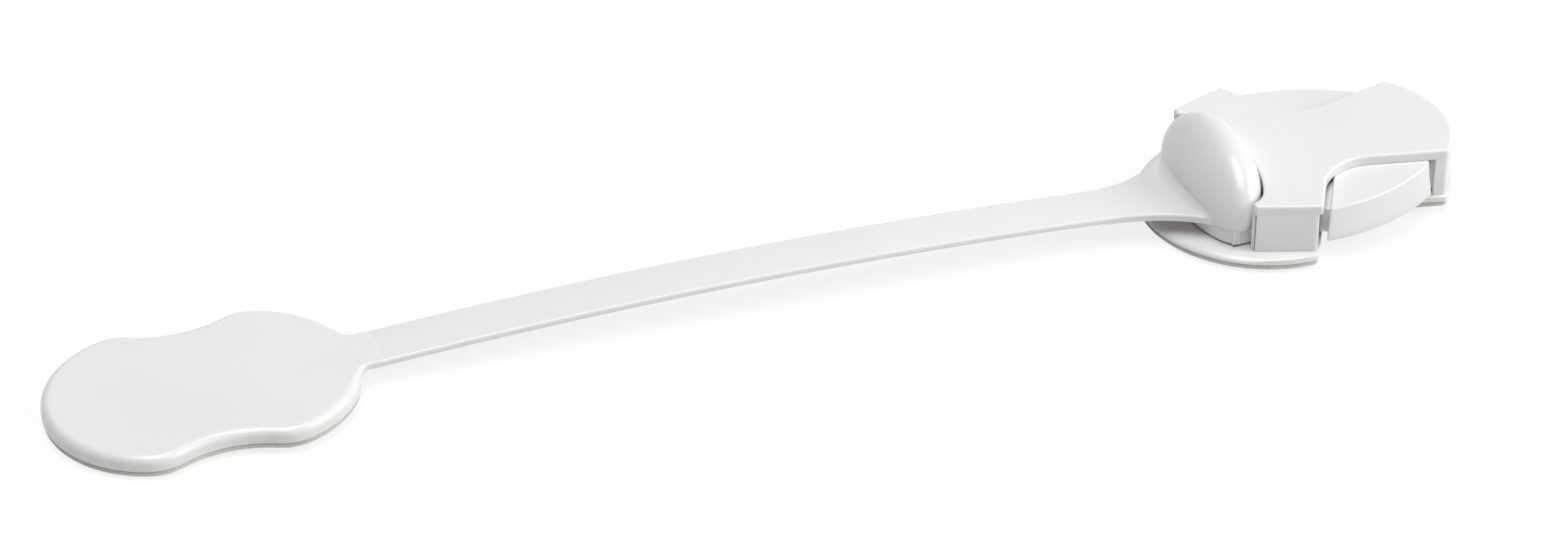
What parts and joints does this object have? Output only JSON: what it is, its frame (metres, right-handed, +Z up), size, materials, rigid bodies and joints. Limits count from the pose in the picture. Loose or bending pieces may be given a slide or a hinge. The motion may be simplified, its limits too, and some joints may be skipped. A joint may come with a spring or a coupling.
{
  "type": "toilet lid lock",
  "caption": "Strap lock for a toilet lid: adhesive paddle, flexible strap with a domed head and tongue, and an adhesive lock body with squeeze buttons that hold the tongue",
  "frame": {"origin": "centre of the lock base's round lobe on the lock's adhesive face", "axes": "X runs along the strap from the paddle (-X) to the lock (+X), Y across it to the back of the picture, Z up from the lock's adhesive face"},
  "size_m": [0.2311, 0.04, 0.0156],
  "materials": {
    "lock_plastic": "smooth white moulded plastic with a satin gloss",
    "button_plastic": "smooth white moulded plastic with a satin gloss",
    "strap_plastic": "softer white flexible plastic with a low sheen",
    "foam": "matt grey-beige adhesive foam",
    "steel": "plain steel"
  },
  "bodies": {
    "lock": {"lock_foam_pad": "foam", "lock_base": "lock_plastic", "lock_cover": "lock_plastic", "cover_screws": "steel", "button_spring_front": "steel", "button_spring_back": "steel"},
    "front_button": {"button_front": "button_plastic"},
    "back_button": {"button_back": "button_plastic"},
    "strap_end": {"tongue": "button_plastic", "strap_head": "strap_plastic", "strap_band": "strap_plastic"},
    "paddle": {"paddle_plate": "strap_plastic", "paddle_foam_pad": "foam"}
  },
  "joints": [
    {"name": "front_squeeze", "type": "hinge", "parent": "lock", "child": "front_button", "pos_m": [0.0184, -0.007, 0.006], "axis": [0, 0, -1], "range_deg": [0, 4], "stiffness_Nm_per_rad": 0.08, "springref_deg": -5.73, "deforming": ["button_spring_front"]},
    {"name": "back_squeeze", "type": "hinge", "parent": "lock", "child": "back_button", "pos_m": [0.0184, 0.007, 0.006], "axis": [0, 0, 1], "range_deg": [0, 4], "stiffness_Nm_per_rad": 0.08, "springref_deg": -5.73, "deforming": ["button_spring_back"]},
    {"name": "strap_slide", "type": "slide", "parent": "lock", "child": "strap_end", "axis": [1, 0, 0], "range_m": [-0.0005, 0]},
    {"name": "strap_bend", "type": "hinge", "parent": "strap_end", "child": "paddle", "pos_m": [-0.0881, 0, 0.0083], "axis": [0, 1, 0], "range_deg": [-90, 90], "stiffness_Nm_per_rad": 0.05, "deforming": ["strap_band"]}
  ]
}
